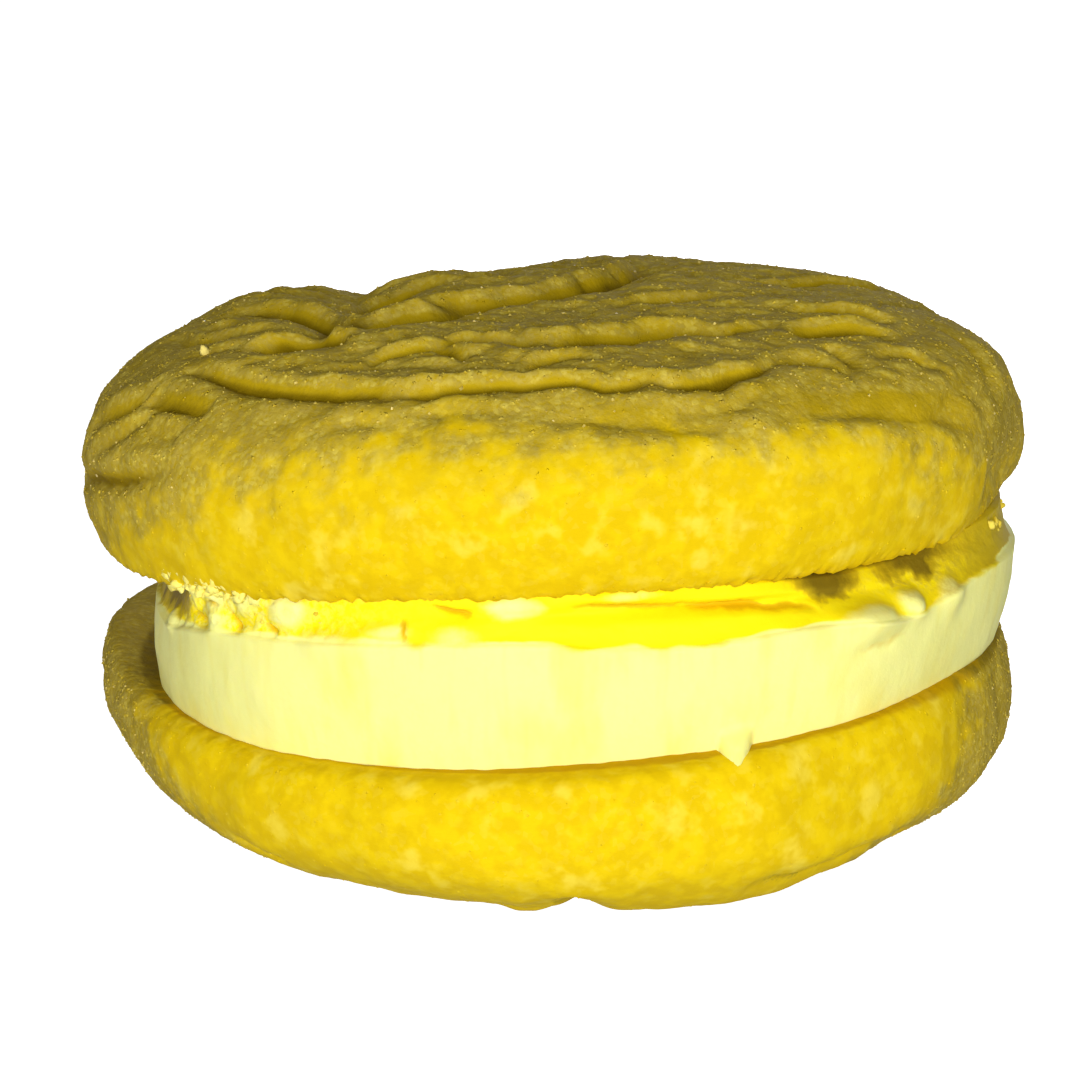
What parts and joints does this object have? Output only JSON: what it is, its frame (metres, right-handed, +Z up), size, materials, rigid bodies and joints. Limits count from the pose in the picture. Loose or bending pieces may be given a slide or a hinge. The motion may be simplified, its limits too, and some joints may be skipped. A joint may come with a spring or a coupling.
{
  "type": "sandwich cookie",
  "caption": "Two thick soft sugar cookies with cracked domed tops, flat faces inward, on a deep straight-sided disc of pale yellow cream that drips at the front.",
  "frame": {"origin": "middle of the small flat spot under the lower cookie's dome, on the surface it rests on", "axes": "+Z up through the stack from lower cookie to upper cookie, -Y to the front where the cream drips, +X to the side where the stack is a little thicker"},
  "size_m": [0.0825, 0.0833, 0.0477],
  "materials": {
    "lower_crust": "dry sandy crumb, golden yellow on the side and browner under the rim",
    "cream": "soft satin, smooth cut wall with a rough brim",
    "upper_crust": "dry wrinkled crust, olive tan with golden cracks and pale sugar grains"
  },
  "bodies": {
    "root": {"bottom_cookie": "lower_crust", "cream_filling": "cream", "top_cookie": "upper_crust"}
  },
  "joints": []
}
